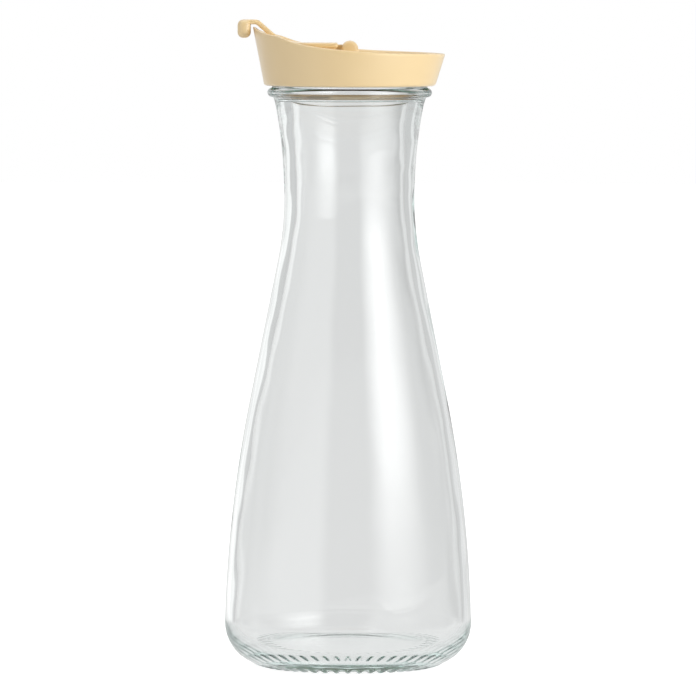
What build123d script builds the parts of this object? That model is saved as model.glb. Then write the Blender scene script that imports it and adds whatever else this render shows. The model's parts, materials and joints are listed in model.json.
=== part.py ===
from build123d import *
import os
from math import cos, hypot, radians, sin, sqrt, tan

# Glass carafe with a flip-top pouring lid. Millimetres, +Z up, origin at the centre of the base.
# The spout points along -X, and the flap's hinge axis runs along Y.

# Jug outline, from the waist of the neck down to the heel
waist_radius = 27.0
waist_height = 195.4
shoulder_arc = 140.0
cone_angle = 11.2
cone_foot_height = 110.3
body_arc = 540.0
heel_arc = 17.0
glass_wall = 4.0
# The glass is thicker at the waist, so the cone leans a little more inside than outside.
neck_wall = 4.6
inner_lean = 0.4

# Jug base
knurl_height = 0.8
knurl_count = 48
knurl_width = 2.2
knurl_arc = 15.0
knurl_sweep = 60.0
bearing_land = 3.0
push_up = 3.6
push_up_fillet = 2.0
floor_height = 9.8
floor_dome = 230.0
inner_heel_arc = 12.0

# Jug neck and mouth, from the waist upwards
flare_arc = 195.0
bead_height = 238.2
bead_proud = 1.9
finish_step = 0.85
finish_height = 11.5
finish_wall = 3.0
bore_arc = 380.0
ledge_drop = 3.7
ledge_round = 1.0
mouth_round = 1.3

# Lid moulding
lid_wall = 2.1
skirt_gap = 1.1
skirt_depth = 9.0
skirt_round = 1.1
seat_gap = 0.3
deck_thickness = 2.0
wall_height = 25.0
wall_flare = 6.4
wall_shift = 1.5
rim_round = 0.8
lip_height = 13.7
rear_rim_height = 2.4
# The rim line between the lip and the rear: distance behind the lip, height over the deck
rim_line = [(4.0, 11.2), (11.0, 9.5), (18.5, 6.9), (30.0, 5.0), (48.0, 3.4)]

# Plug under the deck and the sealing ring stretched over it
plug_gap = 1.1
plug_wall = 2.5
plug_depth = 8.0
groove_depth = 1.2
groove_height = 4.6
groove_foot = 1.3
seal_band = 0.9
seal_clearance = 0.2
seal_fins = 3
seal_fin_height = 0.9

# Pour opening in the deck
opening_length = 12.0
opening_width = 16.0
opening_round = 4.5
opening_setback = 25.4
collar_wall = 1.2
collar_height = 1.2

# Hinge
hinge_x = 0.0
hinge_rise = 4.1
ear_radius = 3.5
ear_thickness = 3.0
ear_spacing = 12.0
ear_bore_depth = 2.0
trunnion_radius = 1.3
trunnion_clearance = 0.05
hinge_side_gap = 0.3
barrel_radius = 2.8

# Flap
flap_thickness = 2.0
flap_rise = 4.8
flap_width = 25.0
stem_width = 11.0
flap_rear_gap = 4.9
flap_bend = 19.0
flap_bend_angle = 41.0
flap_bend_start = 20.3
web_drop = 0.8
taper_start = 14.2
taper_end = 32.2
crown_arc = 3.3
lip_clearance = 0.6
hook_clearance = 0.3
hook_thickness = 5.4
hook_drop = 7.6
hook_width = 14.0
hook_round = 2.6
hook_end_round = 2.3
flap_edge_round = 0.7
ear_edge_round = 0.4
edge_tilt = 0.1
skirt_rib = 1.4
rib_gap = 1.0
rib_seat_gap = 0.3

# Worked out: the jug's outside. Each arc is tangent to the next.
slope = radians(cone_angle)
shoulder_z = waist_height - shoulder_arc * sin(slope)
shoulder_r = waist_radius + shoulder_arc * (1 - cos(slope))
cone_foot_r = shoulder_r + (shoulder_z - cone_foot_height) * tan(slope)
body_centre = (cone_foot_r - body_arc * cos(slope), cone_foot_height - body_arc * sin(slope))


def heel_centre(radius, body_radius, height):
    """Centre of a heel arc that ends level at a height and is tangent inside the body arc."""
    rise = height + radius - body_centre[1]
    return body_centre[0] + sqrt((body_radius - radius) ** 2 - rise**2), height + radius


def touch_body(centre, body_radius):
    """Where a circle inside the body arc touches it."""
    r, z = centre[0] - body_centre[0], centre[1] - body_centre[1]
    reach = body_radius / hypot(r, z)
    return body_centre[0] + r * reach, body_centre[1] + z * reach


def neck_r(z, narrowest, arc):
    """Radius of the neck above the waist, from its narrowest radius and the arc of its flare."""
    return narrowest + arc - sqrt(arc**2 - (z - waist_height) ** 2)


outer_heel = heel_centre(heel_arc, body_arc, knurl_height)
outer_heel_top = touch_body(outer_heel, body_arc)
bearing_radius = outer_heel[0]
push_up_radius = bearing_radius - bearing_land

# Worked out: the jug's inside. The cone runs on tangent to the body, one wall in from the outside,
# and the shoulder's arc is the one that touches both the cone and the waist.
inner_body = body_arc - glass_wall
inner_slope = slope + radians(inner_lean)
outward = (cos(inner_slope), sin(inner_slope))
inner_foot = (body_centre[0] + inner_body * outward[0], body_centre[1] + inner_body * outward[1])
inner_waist = (waist_radius - neck_wall, waist_height)
waist_offset = (inner_waist[0] - inner_foot[0]) * outward[0] + (inner_waist[1] - inner_foot[1]) * outward[1]
inner_arc = waist_offset / (1 - outward[0])
inner_shoulder_r = inner_waist[0] + inner_arc * (1 - outward[0])
inner_shoulder_z = inner_waist[1] - inner_arc * outward[1]
dome_centre_z = floor_height - floor_dome
span = hypot(body_centre[0], body_centre[1] - dome_centre_z)
along = ((floor_dome + inner_heel_arc) ** 2 - (inner_body - inner_heel_arc) ** 2 + span**2) / (2 * span)
across = sqrt((floor_dome + inner_heel_arc) ** 2 - along**2)
toward = (body_centre[0] / span, (body_centre[1] - dome_centre_z) / span)
inner_heel = (
    along * toward[0] + across * toward[1],
    dome_centre_z + along * toward[1] - across * toward[0],
)
inner_heel_top = touch_body(inner_heel, inner_body)
dome_share = floor_dome / (floor_dome + inner_heel_arc)
floor_edge = (
    inner_heel[0] * dome_share,
    dome_centre_z + (inner_heel[1] - dome_centre_z) * dome_share,
)

# Worked out: the mouth
neck_top_z = bead_height - bead_proud
neck_top_r = neck_r(neck_top_z, waist_radius, flare_arc)
finish_radius = neck_top_r + finish_step
bead_radius = finish_radius + bead_proud
bore_radius = finish_radius - finish_wall
mouth_height = bead_height + finish_height
ledge_z = bead_height - ledge_drop
ledge_r = neck_r(ledge_z, inner_waist[0], bore_arc)

# Worked out: the lid's levels and wall
deck_under = mouth_height + seat_gap
deck_top = deck_under + deck_thickness
skirt_z = deck_under - skirt_depth
skirt_radius = finish_radius + skirt_gap + lid_wall
lip_z = deck_top + lip_height


def wall_at(z, inset=0.0):
    """The lid wall's circle at a height, as its plane and radius. The wall is a leaning cone."""
    share = (z - skirt_z) / wall_height
    plane = Plane(origin=(wall_shift * share, 0, z), z_dir=(0, 0, 1))
    return plane, skirt_radius + wall_flare * share - inset


def wall_x(z, side):
    """The lid wall's outside in the middle plane, at the spout (side -1) or the rear (side 1)."""
    plane, radius = wall_at(z)
    return plane.origin.X + side * radius


lip_x = wall_x(lip_z, -1)
rear_rim_z = deck_top + rear_rim_height
rear_x = wall_x(rear_rim_z, 1)

# Worked out: plug, opening and hinge
plug_radius = bore_radius - plug_gap
groove_radius = plug_radius - groove_depth
groove_z = deck_under - plug_depth + groove_foot
opening_x = lip_x + opening_setback
hinge_z = deck_top + hinge_rise
bore_fit_radius = trunnion_radius + trunnion_clearance
barrel_half = ear_spacing / 2 - hinge_side_gap

# Worked out: the flap's side view, from the lip that it hooks over
plate_under = deck_top + flap_rise
plate_top = plate_under + flap_thickness
bend = radians(flap_bend_angle)
bend_x = lip_x + flap_bend_start
crown_z = lip_z + lip_clearance + flap_thickness
bend_top = (bend_x - flap_bend * sin(bend), plate_top + flap_bend * (1 - cos(bend)))
crown_start_z = crown_z - crown_arc * (1 - cos(bend))
stem_run = (crown_start_z - bend_top[1]) / tan(bend)
crown_start = (bend_top[0] - stem_run, crown_start_z)
crown_x = crown_start[0] - crown_arc * sin(bend)
under_bend = flap_bend + flap_thickness
under_crown = crown_arc - flap_thickness
hook_swing = hypot(lip_x - hinge_x, lip_z - hinge_z) + hook_clearance
hook_z = crown_z - hook_drop + hook_round
hook_inner_x = hinge_x - sqrt(hook_swing**2 - (hook_z - hinge_z) ** 2)
hook_x = hook_inner_x - hook_thickness / 2
flap_rear_x = hinge_x - flap_rear_gap

os.makedirs("parts", exist_ok=True)

# The glass jug: one pressed and blown piece, with its bead, mouth, heel, pushed-up floor and knurl.
with BuildPart() as glass_jug:
    with BuildSketch(Plane.XZ):
        with BuildLine():
            under = RadiusArc(
                (0, knurl_height + push_up),
                (push_up_radius, knurl_height),
                (push_up_radius**2 + push_up**2) / (2 * push_up),
            )
            land = Line(under @ 1, (bearing_radius, knurl_height))
            heel = TangentArc(land @ 1, outer_heel_top, tangent=(1, 0))
            body = TangentArc(heel @ 1, (cone_foot_r, cone_foot_height), tangent=heel % 1)
            cone = Line(body @ 1, (shoulder_r, shoulder_z))
            shoulder = TangentArc(cone @ 1, (waist_radius, waist_height), tangent=cone % 1)
            flare = TangentArc(shoulder @ 1, (neck_top_r, neck_top_z), tangent=(0, 1))
            step = Line(flare @ 1, (finish_radius, neck_top_z))
            bead = ThreePointArc(
                step @ 1, (bead_radius, bead_height), (finish_radius, bead_height + bead_proud)
            )
            finish = Line(bead @ 1, (finish_radius, mouth_height))
            mouth = Line(finish @ 1, (bore_radius, mouth_height))
            bore = Line(mouth @ 1, (bore_radius, ledge_z))
            ledge = Line(bore @ 1, (ledge_r, ledge_z))
            RadiusArc(inner_waist, ledge @ 1, -bore_arc)
            inner_shoulder = TangentArc(
                inner_waist, (inner_shoulder_r, inner_shoulder_z), tangent=(0, -1)
            )
            inner_cone = Line(inner_shoulder @ 1, inner_foot)
            inner_side = TangentArc(inner_cone @ 1, inner_heel_top, tangent=inner_cone % 1)
            corner = TangentArc(inner_side @ 1, floor_edge, tangent=inner_side % 1)
            floor = TangentArc(corner @ 1, (0, floor_height), tangent=corner % 1)
            Line(floor @ 1, under @ 0)
        make_face()
    revolve(axis=Axis.Z)
    rims = glass_jug.edges().filter_by(GeomType.CIRCLE)
    fillet(rims.group_by(Axis.Z)[-1], mouth_round)
    push_up_edge = rims.filter_by(lambda e: abs(e.radius - push_up_radius) < seat_gap)
    fillet(push_up_edge.sort_by(Axis.Z)[0], push_up_fillet)
    fillet(rims.filter_by(lambda e: abs(e.center().Z - ledge_z) < seat_gap), ledge_round)
    # One knurl bar: level under the land, then an arc tighter than the heel's, which sinks into it.
    knurl_depth = 2 * knurl_height
    with BuildSketch(Plane.XZ):
        with BuildLine():
            tip = Line((push_up_radius, 0), (bearing_radius, 0))
            crest = JernArc(tip @ 1, (1, 0), knurl_arc, knurl_sweep)
            inward = Vector(0, 0, 1).cross(crest % 1)
            sunk = Line(crest @ 1, crest @ 1 + inward * knurl_depth)
            root = RadiusArc(sunk @ 1, (bearing_radius, knurl_depth), knurl_arc - knurl_depth)
            Polyline(root @ 1, (push_up_radius, knurl_depth), tip @ 0)
        make_face()
    knurl_bar = extrude(amount=knurl_width / 2, both=True, mode=Mode.PRIVATE)
    with PolarLocations(0, knurl_count):
        add(knurl_bar)
glass_jug.part.label = "glass_jug"

# The lid moulding: flared wall with its rim rising to the spout, deck, plug and hinge ears.
with BuildPart() as lid_body:
    for level in (skirt_z, skirt_z + wall_height):
        plane, radius = wall_at(level)
        with BuildSketch(plane):
            Circle(radius)
    loft(ruled=True)
    fillet(lid_body.edges().group_by(Axis.Z)[0], skirt_round)
    for low, high in ((skirt_z, deck_under), (deck_top, skirt_z + wall_height)):
        for level in (low, high):
            plane, radius = wall_at(level, lid_wall)
            with BuildSketch(plane):
                Circle(radius)
        loft(ruled=True, mode=Mode.SUBTRACT)
    # Everything above the rim line is cut away.
    with BuildSketch(Plane.XZ):
        with BuildLine():
            beyond = wall_height
            run = [(lip_x + back, deck_top + rise) for back, rise in rim_line]
            rim = Spline((lip_x, lip_z), *run, (rear_x, rear_rim_z))
            lead = Line(rim @ 0, rim @ 0 - (rim % 0) * beyond)
            tail = Line(rim @ 1, rim @ 1 + (rim % 1) * beyond)
            Polyline(
                lead @ 1,
                (lip_x - beyond, lip_z + beyond),
                (rear_x + beyond, lip_z + beyond),
                tail @ 1,
            )
        make_face()
    extrude(amount=2 * skirt_radius, both=True, mode=Mode.SUBTRACT)
    rim_faces = lid_body.faces().filter_by(GeomType.EXTRUSION)
    fillet(rim_faces.edges().filter_by(lambda e: e.length > wall_height), rim_round)
    # Plug with the groove of the sealing ring
    with BuildSketch(Plane.XY.offset(deck_under - plug_depth)):
        Circle(plug_radius)
        Circle(groove_radius - plug_wall + groove_depth, mode=Mode.SUBTRACT)
    extrude(amount=plug_depth)
    with BuildSketch(Plane.XY.offset(groove_z)):
        Circle(plug_radius + plug_gap)
        Circle(groove_radius, mode=Mode.SUBTRACT)
    extrude(amount=groove_height, mode=Mode.SUBTRACT)
    # Pour opening with its collar
    with BuildSketch(Plane(origin=(opening_x, 0, deck_top), z_dir=(0, 0, 1))):
        RectangleRounded(
            opening_length + 2 * collar_wall, opening_width + 2 * collar_wall, opening_round + collar_wall
        )
    extrude(amount=collar_height)
    with BuildSketch(Plane(origin=(opening_x, 0, deck_under), z_dir=(0, 0, 1))):
        RectangleRounded(opening_length, opening_width, opening_round)
    extrude(amount=deck_thickness + collar_height, mode=Mode.SUBTRACT)
    # Hinge ears, with blind bores for the flap's trunnions
    with BuildSketch(Plane(origin=(hinge_x, -ear_spacing / 2, hinge_z), x_dir=(1, 0, 0), z_dir=(0, -1, 0))):
        Circle(ear_radius)
        with Locations((0, -hinge_rise / 2)):
            Rectangle(2 * ear_radius, hinge_rise)
    ear = extrude(amount=ear_thickness, mode=Mode.PRIVATE)
    sides = ear.faces().filter_by(Axis.Y).edges().filter_by(lambda e: e.center().Z > deck_top)
    ear = ear.fillet(ear_edge_round, sides)
    add([ear, ear.mirror(Plane.XZ)])
    with BuildSketch(Plane(origin=(hinge_x, 0, hinge_z), x_dir=(1, 0, 0), z_dir=(0, -1, 0))):
        Circle(bore_fit_radius)
    extrude(amount=ear_spacing / 2 + ear_bore_depth, both=True, mode=Mode.SUBTRACT)
lid_body.part.label = "lid_body"

# The sealing ring: a silicone band with soft fins, stretched into the plug's groove
with BuildPart() as lid_gasket:
    with BuildSketch(Plane.XZ):
        with Locations((groove_radius + seal_band / 2, groove_z + groove_height / 2)):
            Rectangle(seal_band, groove_height)
        fin_root = groove_radius + seal_band
        fin_tip = bore_radius - seal_clearance
        pitch = groove_height / seal_fins
        for fin in range(seal_fins):
            middle = groove_z + (fin + 0.5) * pitch
            Polygon(
                (fin_root - seal_band / 2, middle - seal_fin_height / 2),
                (fin_tip, middle - seal_fin_height / 4),
                (fin_tip, middle + seal_fin_height / 4),
                (fin_root - seal_band / 2, middle + seal_fin_height / 2),
                align=None,
            )
    revolve(axis=Axis.Z)
lid_gasket.part.label = "lid_gasket"

# The pour flap: a plate that bends up the spout, hooks over the lip, and turns on its own trunnions
with BuildPart() as pour_flap:
    with BuildSketch(Plane.XZ):
        with BuildLine():
            top = Line((flap_rear_x, plate_top), (bend_x, plate_top))
            rise = TangentArc(top @ 1, bend_top, tangent=(-1, 0))
            stem = Line(rise @ 1, crown_start)
            crown = TangentArc(stem @ 1, (crown_x, crown_z), tangent=stem % 1)
            roof = Line(crown @ 1, (hook_x, crown_z))
            end = Line(roof @ 1, (hook_x, crown_z - flap_thickness))
            ceiling = Line(end @ 1, (crown_x, crown_z - flap_thickness))
            under_crown_end = (
                crown_x + under_crown * sin(bend),
                crown_z - crown_arc + under_crown * cos(bend),
            )
            throat = TangentArc(ceiling @ 1, under_crown_end, tangent=(1, 0))
            under_bend_top = (
                bend_x - under_bend * sin(bend),
                plate_under + under_bend * (1 - cos(bend)),
            )
            under_stem = Line(throat @ 1, under_bend_top)
            under_rise = TangentArc(under_stem @ 1, (bend_x, plate_under), tangent=under_stem % 1)
            under_plate = Line(under_rise @ 1, (flap_rear_x, plate_under))
            Line(under_plate @ 1, top @ 0)
        make_face()
    extrude(amount=flap_width / 2, both=True)
    # The leaf's plan: full width over the opening, drawn in to the stem towards the lip
    with BuildSketch(Plane.XY.offset(deck_top)):
        with BuildLine():
            side = Line((flap_rear_x, flap_width / 2), (hinge_x - taper_start, flap_width / 2))
            waist = Spline(
                side @ 1, (hinge_x - taper_end, stem_width / 2), tangents=((-1, 0), (-1, 0))
            )
            shank = Line(waist @ 1, (hook_x, stem_width / 2))
            Polyline(shank @ 1, (hook_x, 0), (flap_rear_x, 0), side @ 0)
        make_face()
        mirror(about=Plane.XZ)
    extrude(amount=crown_z - deck_top, mode=Mode.INTERSECT)
    # The long edges of the leaf are rounded, above and below.
    flanks = pour_flap.faces().filter_by(
        lambda f: abs(f.normal_at().Z) < edge_tilt < abs(f.normal_at().Y)
    )
    fillet(flanks.edges().filter_by(lambda e: e.bounding_box().size.X > flap_thickness), flap_edge_round)
    # The hook is a stout round-ended bar across the tip, to be lifted with a finger.
    with BuildSketch(Plane.XZ):
        with Locations((hook_x, crown_z - hook_drop / 2)):
            RectangleRounded(hook_thickness, hook_drop, hook_round)
    hook = extrude(amount=hook_width / 2, both=True, mode=Mode.PRIVATE)
    ends = hook.faces().filter_by(Axis.Y).edges().filter_by(lambda e: abs(e.center().Y) > stem_width / 2)
    add(hook.fillet(hook_end_round, ends))
    # Skirt rib that drops round the collar of the pour opening
    rib_inner = 2 * (collar_wall + rib_gap)
    rib_outer = rib_inner + 2 * skirt_rib
    with BuildSketch(Plane(origin=(opening_x, 0, deck_top + rib_seat_gap), z_dir=(0, 0, 1))):
        corner_round = opening_round + collar_wall + rib_gap
        RectangleRounded(
            opening_length + rib_outer, opening_width + rib_outer, corner_round + skirt_rib
        )
        RectangleRounded(
            opening_length + rib_inner, opening_width + rib_inner, corner_round, mode=Mode.SUBTRACT
        )
    extrude(amount=flap_rise - rib_seat_gap + flap_thickness / 2)
    # Web, barrel and trunnions
    with BuildSketch(Plane(origin=(hinge_x, 0, hinge_z), x_dir=(1, 0, 0), z_dir=(0, -1, 0))):
        Circle(barrel_radius)
        web_top = plate_top - web_drop - hinge_z
        web_length = flap_rear_gap + flap_thickness / 2
        with Locations((-web_length / 2, web_top - flap_thickness / 2)):
            Rectangle(web_length, flap_thickness)
    extrude(amount=barrel_half, both=True)
    with BuildSketch(Plane(origin=(hinge_x, 0, hinge_z), x_dir=(1, 0, 0), z_dir=(0, -1, 0))):
        Circle(trunnion_radius)
    extrude(amount=ear_spacing / 2 + ear_bore_depth - hinge_side_gap, both=True)
pour_flap.part.label = "pour_flap"

for piece in (glass_jug, lid_body, lid_gasket, pour_flap):
    export_step(piece.part, f"parts/{piece.part.label}.step")
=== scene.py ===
import json
from math import atan2, cos, hypot, pi, radians, sin, sqrt, tan, tau

import bmesh
import bpy
from bpy.props import FloatProperty, FloatVectorProperty, IntProperty, PointerProperty
from mathutils import Matrix, Vector, noise


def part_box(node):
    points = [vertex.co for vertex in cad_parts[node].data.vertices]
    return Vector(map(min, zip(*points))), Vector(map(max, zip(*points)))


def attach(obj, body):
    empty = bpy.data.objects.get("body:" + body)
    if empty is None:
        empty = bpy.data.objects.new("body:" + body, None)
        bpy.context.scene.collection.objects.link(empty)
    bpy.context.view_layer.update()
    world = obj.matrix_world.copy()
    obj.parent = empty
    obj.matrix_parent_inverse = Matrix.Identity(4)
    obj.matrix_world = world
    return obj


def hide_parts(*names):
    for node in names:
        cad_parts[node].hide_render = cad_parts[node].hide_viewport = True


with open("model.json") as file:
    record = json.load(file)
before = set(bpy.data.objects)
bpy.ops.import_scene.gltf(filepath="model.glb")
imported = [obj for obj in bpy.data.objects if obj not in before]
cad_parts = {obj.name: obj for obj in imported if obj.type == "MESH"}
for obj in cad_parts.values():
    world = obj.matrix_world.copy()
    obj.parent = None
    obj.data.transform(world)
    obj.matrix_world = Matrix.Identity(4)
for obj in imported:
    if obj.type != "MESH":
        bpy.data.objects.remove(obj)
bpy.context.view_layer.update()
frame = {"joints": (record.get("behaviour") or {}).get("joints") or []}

bl_info = {
    "name": "Glass Jug with Pouring Lid",
    "version": (1, 0, 0),
    "blender": (4, 5, 0),
    "location": "View3D > Sidebar > Jug",
    "description": "Builds a clear glass jug, its pouring lid and its flap, and sets them on a pale table",
    "category": "Add Mesh",
}

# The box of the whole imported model, before anything is added to it
JUG_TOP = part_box("glass_jug")[1].z
HINGE = Vector(next(joint["pos_m"] for joint in frame["joints"] if joint["name"] == "flap_hinge"))
# Edges that turn by more than this, in radians, stay sharp in the moulded pieces
SHARP = 0.6


def length(name, default, description):
    """A size in metres, as a property with a name and a description."""
    return FloatProperty(
        name=name, description=description, default=default, unit="LENGTH", precision=5, soft_min=0.0
    )


def lengths(name, default, description):
    """A few sizes in metres, as one property."""
    return FloatVectorProperty(
        name=name, description=description, default=default, size=len(default), unit="LENGTH", precision=5
    )


def count(name, default, description):
    """A whole number, as a property."""
    return IntProperty(name=name, description=description, default=default, min=3)


def angle(name, default, description):
    """An angle given in degrees, as a property."""
    return FloatProperty(name=name, description=description, default=radians(default), subtype="ANGLE")


def amount(name, default, description):
    """A plain number, as a property."""
    return FloatProperty(name=name, description=description, default=default)


def colour(name, default, description):
    """A linear colour, as a property."""
    return FloatVectorProperty(
        name=name, description=description, default=default, subtype="COLOR", size=3, min=0.0, max=1.0
    )


class JugSizes(bpy.types.PropertyGroup):
    waist_radius: length("Waist radius", 0.027, "Outside radius at the narrowest place")
    waist_height: length("Waist height", 0.1954, "Height of the narrowest place")
    shoulder_arc: length("Shoulder arc", 0.14, "Radius of the curve from the waist into the cone")
    cone_angle: angle("Cone angle", 11.2, "Lean of the straight side from the vertical")
    cone_foot_height: length("Cone foot height", 0.1103, "Where the straight side turns into the belly")
    body_arc: length("Belly arc", 0.54, "Radius of the long curve of the belly")
    heel_arc: length("Heel arc", 0.017, "Reach of the curve under the belly")
    heel_rise: length("Heel rise", 0.017, "Height of that curve")
    glass_wall: length("Glass wall", 0.004, "Thickness of the glass")
    knurl_height: length("Knurl height", 0.0008, "How far the studs stand out of the foot")
    knurl_width: length("Knurl width", 0.0024, "Width of one stud")
    knurl_count: count("Knurl count", 48, "Studs round the foot")
    knurl_arc: length("Knurl arc", 0.0115, "Radius of a stud's crest, which runs out into the heel")
    knurl_reach: length("Knurl reach", 0.0014, "How far a stud reaches in from the edge of the foot")
    knurl_crowd: amount("Knurl crowding", 0.7, "How closely the mesh's steps crowd together on a stud")
    bearing_land: length("Bearing land", 0.003, "Width of the level ring under the foot")
    push_up: length("Push-up", 0.0036, "Rise of the underside at the middle")
    floor_height: length("Floor height", 0.0098, "Height of the inside at the middle of the floor")
    floor_dome: length("Floor dome", 0.23, "Radius of the domed floor")
    inner_heel_arc: length("Inner heel arc", 0.012, "Radius of the inside corner")
    flare_arc: length("Flare arc", 0.195, "Radius of the neck above the waist")
    bead_height: length("Bead height", 0.2382, "Height of the bead's middle")
    bead_proud: length("Bead proud", 0.0019, "How far the bead stands out of the mouth band")
    finish_step: length("Mouth step", 0.00085, "Step from the neck out to the mouth band")
    finish_wall: length("Mouth wall", 0.003, "Thickness of the glass at the mouth")
    neck_wall: length("Neck wall", 0.0046, "Thickness of the glass at the waist")
    inner_lean: angle("Inner lean", 0.4, "How much more the cone leans inside than outside")
    bore_arc: length("Bore arc", 0.38, "Radius of the neck's inside above the waist")
    ledge_drop: length("Ledge drop", 0.0022, "From the bead's middle down to the ledge under the mouth")
    ledge_round: length("Ledge round", 0.00035, "Rounding of that ledge's two corners")
    mouth_round: length("Mouth round", 0.0013, "Rounding of the mouth's two edges")
    inner_ripple: length("Inner ripple", 0.00018, "Unevenness of the blown inside")
    neck_ripple: length("Neck ripple", 0.00016, "Fine unevenness at the neck's two sides")
    outer_ripple: length("Outer ripple", 0.00003, "Unevenness of the moulded outside")
    slow_swells: amount("Slow swells", 42.0, "Slow swells to the metre on the inside")
    quick_swells: amount("Quick swells", 95.0, "Quicker swells to the metre on the inside")
    neck_swells: amount("Neck swells", 60.0, "Fine swells to the metre across the neck")
    neck_layers: amount("Neck layers", 260.0, "Fine swells to the metre up the neck")
    outer_swells: amount("Outer swells", 30.0, "Swells to the metre on the outside")
    uneven_foot: length("Uneven foot", 0.12, "Where the inside starts to get more uneven")
    uneven_top: length("Uneven top", 0.18, "Where it is at its most uneven")
    mouth_fade: length("Mouth fade", 0.01, "Height over which the unevenness ends under the mouth")
    foot_soft: length("Foot softness", 0.0016, "Reach of the softening at the foot's ring")
    neck_soft: length("Neck softness", 0.0008, "Reach of the softening under the bead")
    bead_soft: length("Bead softness", 0.0007, "Reach of the softening over the bead")
    steps: count("Steps", 8, "Steps round the jug for each stud")


class LidSizes(bpy.types.PropertyGroup):
    wall: length("Wall", 0.0021, "Thickness of the flared wall")
    skirt_radius: length("Skirt radius", 0.0354, "Outside radius at the foot of the wall")
    skirt_height: length("Skirt height", 0.241, "Height of the foot of the wall")
    deck_height: length("Deck height", 0.252, "Height of the deck's top")
    deck_thickness: length("Deck thickness", 0.002, "Thickness of the deck")
    wall_height: length("Wall height", 0.025, "Height over which the flare and the lean are given")
    wall_flare: length("Wall flare", 0.0064, "How much wider the wall is at the top")
    wall_shift: length("Wall shift", 0.0015, "How far the wall leans back at the top")
    lip_height: length("Lip height", 0.0137, "Height of the spout's lip over the deck")
    rear_rim_height: length("Rear rim height", 0.0024, "Height of the rear rim over the deck")
    rim_round: length("Rim round", 0.0009, "Rounding of the rim")
    plug_radius: length("Plug radius", 0.0281, "Outside radius of the plug in the mouth")
    plug_wall: length("Plug wall", 0.0025, "Thickness of the plug")
    plug_depth: length("Plug depth", 0.008, "How far the plug reaches down")
    opening_length: length("Opening length", 0.012, "Pour opening, along the spout line")
    opening_width: length("Opening width", 0.016, "Pour opening, across the spout line")
    opening_round: length("Opening round", 0.0045, "Corner radius of the pour opening")
    opening_setback: length("Opening setback", 0.0254, "From the lip to the middle of the pour opening")
    collar_wall: length("Collar wall", 0.0012, "Thickness of the collar round the opening")
    collar_height: length("Collar height", 0.0012, "Height of that collar")
    ear_radius: length("Ear radius", 0.0035, "Radius of the rounded hinge ears")
    ear_thickness: length("Ear thickness", 0.003, "Thickness of one ear")
    ear_spacing: length("Ear spacing", 0.012, "Gap between the two ears")
    bore_radius: length("Ear bore radius", 0.00135, "Radius of the blind bores for the trunnions")
    bore_depth: length("Ear bore depth", 0.002, "Depth of those bores")
    ear_round: length("Ear round", 0.0012, "Rounding of the ears' edges")
    skirt_round: length("Skirt round", 0.0011, "Rounding of the skirt's foot")
    corner_round: length("Corner round", 0.0006, "Rounding of the inside corners")
    deck_core: length("Deck core", 0.0248, "Radius inside which the deck closes in to the opening")
    groove_radius: length("Groove radius", 0.0269, "Radius of the plug in the groove of the ring")
    groove_foot: length("Groove foot", 0.2433, "Height of that groove's foot")
    groove_height: length("Groove height", 0.0046, "Height of that groove")
    rim_back: lengths(
        "Rim places", (0.004, 0.011, 0.0185, 0.03, 0.048), "Places on the rim line, behind the lip"
    )
    rim_rise: lengths(
        "Rim rises", (0.0112, 0.0095, 0.0069, 0.005, 0.0034), "Heights of the rim over the deck there"
    )
    steps: count("Steps", 192, "Steps round the lid")


class FlapSizes(bpy.types.PropertyGroup):
    thickness: length("Thickness", 0.002, "Thickness of the leaf")
    rise: length("Rise", 0.0048, "Height of the leaf's underside over the deck")
    width: length("Width", 0.025, "Width of the leaf over the opening")
    stem_width: length("Stem width", 0.011, "Width of the stem up the spout")
    rear_gap: length("Rear gap", 0.0049, "From the hinge to the leaf's rear edge")
    bend_arc: length("Bend arc", 0.019, "Radius of the bend at the foot of the stem")
    bend_angle: angle("Bend angle", 41.0, "Slope of the stem")
    bend_start: length("Bend start", 0.0203, "From the lip back to the start of the bend")
    taper_start: length("Taper start", 0.0142, "From the hinge to where the leaf draws in")
    taper_end: length("Taper end", 0.0322, "From the hinge to where the stem has its own width")
    crown_arc: length("Crown arc", 0.0033, "Radius of the bend over the lip")
    lip_clearance: length("Lip clearance", 0.0006, "Gap between the lip and the stem over it")
    hook_clearance: length("Hook clearance", 0.0003, "Gap between the hook and the lip's swing")
    hook_thickness: length("Hook thickness", 0.0054, "Thickness of the finger hook")
    hook_drop: length("Hook drop", 0.0076, "Height of the finger hook")
    hook_width: length("Hook width", 0.014, "Width of the finger hook")
    hook_round: length("Hook round", 0.0023, "Rounding of the finger hook")
    hook_corner: length("Hook corner", 0.0003, "Least rounding at the hook's two ends")
    hook_level: length("Hook level", 0.0026, "Height over the hook's foot at which it clears the lip's swing")
    web_drop: length("Web drop", 0.0008, "Step from the leaf's top down to the web")
    edge_round: length("Edge round", 0.0007, "Rounding of the leaf's edges")
    rib: length("Rib", 0.0014, "Thickness of the rib round the collar")
    rib_gap: length("Rib gap", 0.001, "Gap between the rib and the collar")
    rib_seat_gap: length("Rib seat gap", 0.0003, "Gap between the rib and the deck")
    barrel_radius: length("Barrel radius", 0.0028, "Radius of the hinge barrel")
    side_gap: length("Side gap", 0.0003, "Gap between the barrel and each ear")
    trunnion_radius: length("Trunnion radius", 0.0013, "Radius of the trunnions")


class SealSizes(bpy.types.PropertyGroup):
    band: length("Band", 0.0009, "Thickness of the band between the fins")
    tip_radius: length("Tip radius", 0.029, "Radius of the fins' tips")
    fins: count("Fins", 3, "Fins on the ring")
    fin_height: length("Fin height", 0.0009, "Height of a fin at its root")
    steps: count("Steps", 160, "Steps round the ring")


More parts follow.
